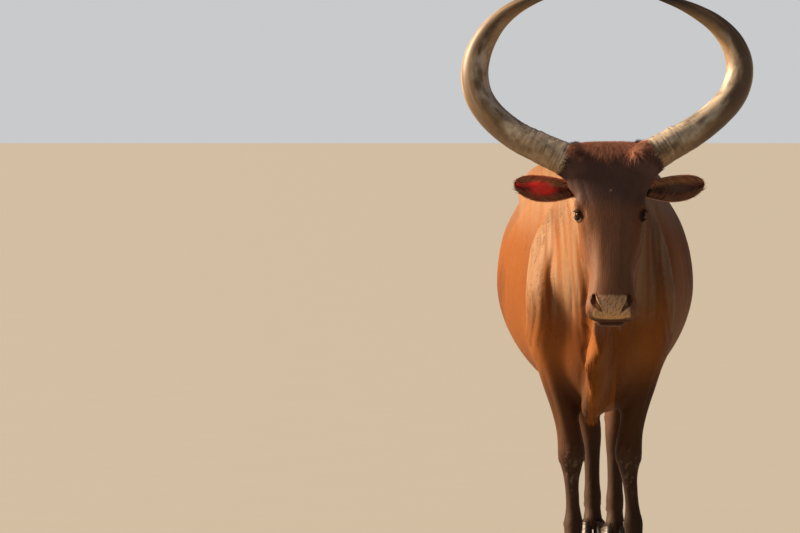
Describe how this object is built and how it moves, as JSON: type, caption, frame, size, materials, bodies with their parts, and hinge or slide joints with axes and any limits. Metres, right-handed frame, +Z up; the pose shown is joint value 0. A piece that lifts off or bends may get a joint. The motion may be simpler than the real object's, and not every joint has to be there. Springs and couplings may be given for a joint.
{
  "type": "ankole watusi cow",
  "caption": "Life-size standing longhorn cow with a red-brown short coat, a ring of great upswept horns, a dewlap and cloven hooves.",
  "frame": {"origin": "middle of the whole model's box, on the floor under it", "axes": "+Z up; the cow faces -Y, and its left side is at +X"},
  "size_m": [0.8862, 2.1896, 1.7805],
  "materials": {
    "coat": "short glossy red-brown hair",
    "switch": "long dark red-brown hair",
    "udder": "bare skin with fine hair",
    "eye": "wet and dark",
    "horn": "worn horn with growth rings",
    "hoof": "dull dark horn"
  },
  "bodies": {
    "root": {"head": "coat", "neck": "coat", "trunk": "coat", "dewlap": "coat", "leg_front_left": "coat", "leg_front_right": "coat", "leg_hind_left": "coat", "leg_hind_right": "coat", "ear_left": "coat", "ear_right": "coat", "tail": "coat", "tail_switch": "switch", "udder": "udder", "eye_left": "eye", "eye_right": "eye", "horn_left": "horn", "horn_right": "horn", "claw_front_left_inner": "hoof", "claw_front_left_outer": "hoof", "claw_front_right_inner": "hoof", "claw_front_right_outer": "hoof", "claw_hind_left_inner": "hoof", "claw_hind_left_outer": "hoof", "claw_hind_right_inner": "hoof", "claw_hind_right_outer": "hoof", "dewclaw_front_left_inner": "hoof", "dewclaw_front_left_outer": "hoof", "dewclaw_front_right_inner": "hoof", "dewclaw_front_right_outer": "hoof", "dewclaw_hind_left_inner": "hoof", "dewclaw_hind_left_outer": "hoof", "dewclaw_hind_right_inner": "hoof", "dewclaw_hind_right_outer": "hoof"}
  },
  "joints": []
}
